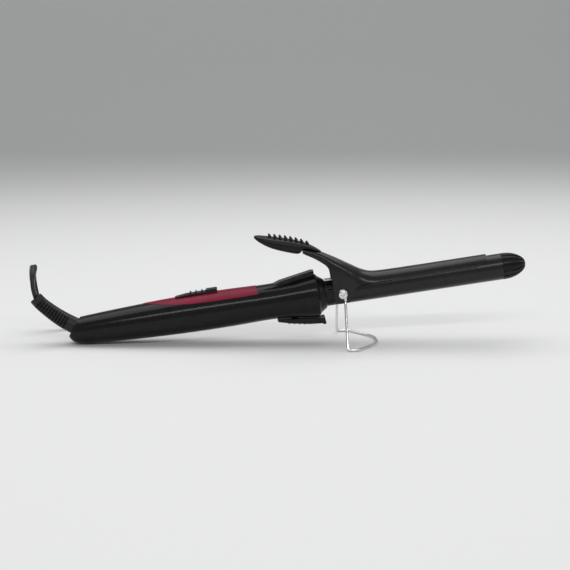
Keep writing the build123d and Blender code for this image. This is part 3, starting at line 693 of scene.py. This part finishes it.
boot = piece("bend_relief_boot", outwards(mesh_of("bend_relief_boot", *skin(boot_rings()), IRON)),
             "root", "boot_rubber")
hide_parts("bend_relief")
print("boot faces:", len(boot.data.polygons))

# %% [markdown]
# The clamp is pressed from one sheet: a long jaw that fits the barrel, two cheeks on the pivot screws and
# a lever arm with round shoulders. The middle of the sheet is drawn as a grid. Each station goes from the
# ridge, round the shoulder and down to the lower edge. Solidify then gives the sheet its thickness on
# both sides of the grid, after subdivision has made it fair, and a small bevel breaks the cut edges.

# %% Clamp
SHEET = 1.05
ARM_TOP = [(-30.0, 39.3), (-22.0, 35.8), (-14.5, 32.4), (-8.9, 29.4), (-3.4, 26.0), (2.4, 22.4), (8.0, 18.8),
           (15.9, 13.9), (21.0, 11.7), (28.0, 10.75), (36.0, 10.7), (107.0, 10.7)]
ARM_HALF = [(-22.0, 6.6), (-14.5, 6.7), (-8.9, 7.7), (-3.4, 9.6), (2.4, 10.6), (8.0, 10.7), (107.0, 10.7)]
ARM_CORNER = [(-22.0, 3.4), (-14.5, 3.6), (-8.9, 4.2), (-3.4, 5.4), (2.4, 6.4), (8.0, 7.6), (15.9, 9.4),
              (21.0, 10.3), (28.0, 10.65), (107.0, 10.65)]
# Each station: where it starts on the ridge, and where it ends on the lower edge (x, z).
CLAMP_STATIONS = [(-24.0, -24.0, 32.4), (-22.0, -22.0, 31.0), (-18.5, -18.3, 28.9), (-14.5, -14.4, 26.2),
                  (-10.8, -11.0, 23.5), (-7.6, -8.5, 21.4), (-5.0, -7.1, 19.2), (-3.0, -6.4, 16.0),
                  (-1.2, -6.05, 12.0), (0.3, -6.0, 7.5), (1.6, -6.0, 2.5), (2.8, -6.0, -2.0),
                  (3.6, -6.0, -5.6), (4.4, -5.2, -7.0), (5.6, -3.4, -7.2), (7.0, -0.8, -7.2),
                  (8.6, 2.0, -7.2), (10.0, 4.2, -7.1), (11.0, 5.5, -5.6), (12.0, 6.6, -3.0),
                  (13.2, 7.9, -0.2), (14.6, 9.7, 2.1), (16.6, 12.6, 3.7), (19.0, 17.0, 4.25),
                  (22.0, 21.5, 4.3), (26.0, 26.0, 4.3), (34.0, 34.0, 4.3), (50.0, 50.0, 4.3),
                  (70.0, 70.0, 4.3), (88.0, 88.0, 4.3), (97.0, 97.0, 4.3), (100.5, 100.5, 4.7),
                  (102.8, 102.8, 5.4), (104.6, 104.6, 6.6), (105.8, 105.8, 7.9), (106.6, 106.6, 9.2),
                  (106.95, 106.95, 9.95)]
CLAMP_ACROSS = 15


def half_section(top, half, corner, low):
    """From the ridge round the shoulder to the lower edge, as evenly spaced (y, z) points."""
    turn = np.linspace(0, pi / 2, 60)
    y = np.concatenate([[0], half - corner + corner * np.sin(turn), [half]])
    z = np.concatenate([[top], top - corner + corner * np.cos(turn), [min(low, top - corner) - 1e-6]])
    if low > top - corner:
        last = np.searchsorted(-z, -low)
        y, z = np.append(y[:last], np.interp(low, z[::-1], y[::-1])), np.append(z[:last], low)
    run = np.concatenate([[0], np.cumsum(np.hypot(np.diff(y), np.diff(z)))])
    even = np.linspace(0, run[-1], CLAMP_ACROSS)
    return np.interp(even, run, y), np.interp(even, run, z)


def clamp_grid():
    points, faces = [], []
    for ridge_x, low_x, low_z in CLAMP_STATIONS:
        top = float(fair(ridge_x, ARM_TOP)) - SHEET / 2
        half = float(fair(ridge_x, ARM_HALF)) - SHEET / 2
        corner = float(fair(ridge_x, ARM_CORNER)) - SHEET / 2
        y, z = half_section(top, half, corner, low_z)
        down = np.clip((top - z) / max(top - low_z, 1e-6), 0, 1) ** 1.3
        x = ridge_x + (low_x - ridge_x) * down
        points += [(x[k], -y[k], z[k]) for k in range(CLAMP_ACROSS - 1, 0, -1)]
        points += [(x[k], y[k], z[k]) for k in range(CLAMP_ACROSS)]
    size = 2 * CLAMP_ACROSS - 1
    for i in range(len(CLAMP_STATIONS) - 1):
        for j in range(size - 1):
            faces.append((i * size + j, i * size + j + 1, (i + 1) * size + j + 1, (i + 1) * size + j))
    return points, faces


grid = mesh_of("clamp_sheet", *clamp_grid(), IRON)
clamp = piece("clamp_sheet", grid, "clamp", "clamp_coat")
polish(clamp, subdivide(2), ("SOLIDIFY", {"thickness": SHEET * MM, "offset": 0.0}),
       ("BEVEL", {"width": 0.22 * MM, "segments": 2, "angle_limit": radians(50), "harden_normals": False}))
outwards(clamp.data)
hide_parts("clamp_jaw")
print("clamp faces:", len(clamp.data.polygons))

# %% [markdown]
# The thumb pad stays cool. It is a spoon-shaped moulding pushed onto the arm, with a thin flap that runs
# down over the arm and rows of little pins on top for grip. The spoon is a run of rounded sections. The
# pins repeat, so Geometry Nodes copy one pin to each place.

# %% Thumb pad and its pins
# Each section: top (x, z), bottom (x, z), half-width.
PAD_SECTIONS = [(-56.9, 49.0, -56.9, 48.0, 1.6), (-55.9, 49.6, -55.6, 46.2, 3.9),
                (-53.0, 49.2, -52.2, 43.2, 6.2), (-48.0, 47.9, -47.1, 39.6, 8.0),
                (-42.0, 46.3, -41.5, 36.9, 8.9), (-35.1, 44.4, -35.0, 34.4, 8.9),
                (-30.0, 42.8, -30.0, 32.6, 8.5), (-27.0, 41.6, -27.4, 32.0, 8.3),
                (-25.0, 40.7, -25.7, 32.2, 8.1), (-24.0, 40.3, -24.5, 33.5, 7.9),
                (-22.9, 39.8, -23.3, 35.0, 7.7), (-20.0, 38.3, -20.6, 34.9, 7.1),
                (-16.0, 35.8, -16.4, 33.1, 6.1), (-12.6, 33.1, -12.8, 31.4, 4.6),
                (-10.3, 31.2, -10.3, 30.5, 2.8)]
PAD_ROUNDNESS = 0.72
PIN_ROWS, PIN_FRONT, PIN_PITCH, PIN_LENGTH, PIN_LEAN = 8, -19.5, 3.71, 2.2, radians(16.0)


def pad_ring(top_x, top_z, low_x, low_z, half, count=24):
    middle = Vector(((top_x + low_x) / 2, 0, (top_z + low_z) / 2))
    up = Vector(((top_x - low_x) / 2, 0, (top_z - low_z) / 2))
    ring = []
    for i in range(count):
        angle = 2 * pi * i / count
        c, s = cos(angle), sin(angle)
        across = Vector((0, half * np.sign(c) * abs(c) ** PAD_ROUNDNESS, 0))
        ring.append(middle + across + up * np.sign(s) * abs(s) ** PAD_ROUNDNESS)
    return ring


pad_mesh = mesh_of("thumb_spoon", *skin([pad_ring(*section) for section in PAD_SECTIONS]), IRON)
pad = polish(piece("thumb_spoon", outwards(pad_mesh), "clamp", "black_plastic"), subdivide(2))
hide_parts("thumb_pad")


def pin_places():
    ridge = sorted((x, z) for x, z, _, _, _ in PAD_SECTIONS)
    places = []
    for row in range(PIN_ROWS):
        x = PIN_FRONT - PIN_PITCH * row
        for y in ((-4.6, 0, 4.6) if 0 < row < PIN_ROWS - 1 else (-2.4, 2.4)):
            drop = 0.45 if abs(y) > 4 else 0.15
            places.append(IRON @ Vector((x, y, float(fair(x, ridge)) - drop)))
    return places


pin_rings = [rounded_ring(x, r, r, 2.0, 14) for x, r in
             ((-0.3, 1.2), (0.3, 1.1), (1.2, 0.86), (PIN_LENGTH - 0.4, 0.66), (PIN_LENGTH - 0.1, 0.48),
              (PIN_LENGTH, 0.2))]
one_pin = pattern("grip_pin", *skin(pin_rings))
pins = run_tree("grip_pins", copies, pin_places(),
                {"Copy": one_pin, "Turn": (0, -pi / 2 - PIN_LEAN - LEAN, 0),
                 "Finish": finishes["black_plastic"]},
                "clamp", "black_plastic")
bpy.data.objects.remove(one_pin)
print("pins:", len(pin_places()), "faces:", len(pins.data.polygons))

# %% [markdown]
# The tip cap is fluted, so that fingers can hold the cool end. One formula gives it: a round nose whose
# radius drops in fourteen grooves, which start behind the barrel's rim and fade out before the point.

# %% Tip cap
TIP_PROFILE = [(116.4, 8.6), (117.05, 8.7), (117.1, 9.3), (117.5, 9.5), (120.0, 9.5), (124.0, 9.05),
               (128.0, 7.85), (131.0, 6.3), (133.2, 4.5), (134.5, 2.6), (134.95, 1.0)]
TIP_FLUTES, TIP_DEPTH = 14, 1.4


def tip_rings(around=14 * 14):
    stations = np.concatenate([[116.4, 117.05, 117.1, 117.25, 117.5], np.linspace(118.0, 134.0, 60),
                               [134.4, 134.7, 134.9, 134.97]])
    rings = []
    for x in stations:
        radius = float(np.interp(x, *np.array(TIP_PROFILE).T) if x < 118 else fair(x, TIP_PROFILE[4:]))
        fade = soft_step(x, 117.6, 118.3) * (1 - soft_step(x, 131.5, 134.2))
        ring = []
        for j in range(around):
            angle = 2 * pi * j / around
            groove = soft_step(-cos(TIP_FLUTES * angle), -0.25, 0.45)
            r = radius - TIP_DEPTH * fade * groove * min(1.0, radius / 7.0)
            ring.append((x, r * cos(angle), r * sin(angle)))
        rings.append(ring)
    return rings


tip = piece("tip_fluted", outwards(mesh_of("tip_fluted", *skin(tip_rings()), IRON)), "root", "black_plastic")
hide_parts("tip_cap")
print("tip faces:", len(tip.data.polygons))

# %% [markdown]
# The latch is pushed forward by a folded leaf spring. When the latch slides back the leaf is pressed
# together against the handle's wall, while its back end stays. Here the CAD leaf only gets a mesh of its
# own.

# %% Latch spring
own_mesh(nodes["latch_spring"])
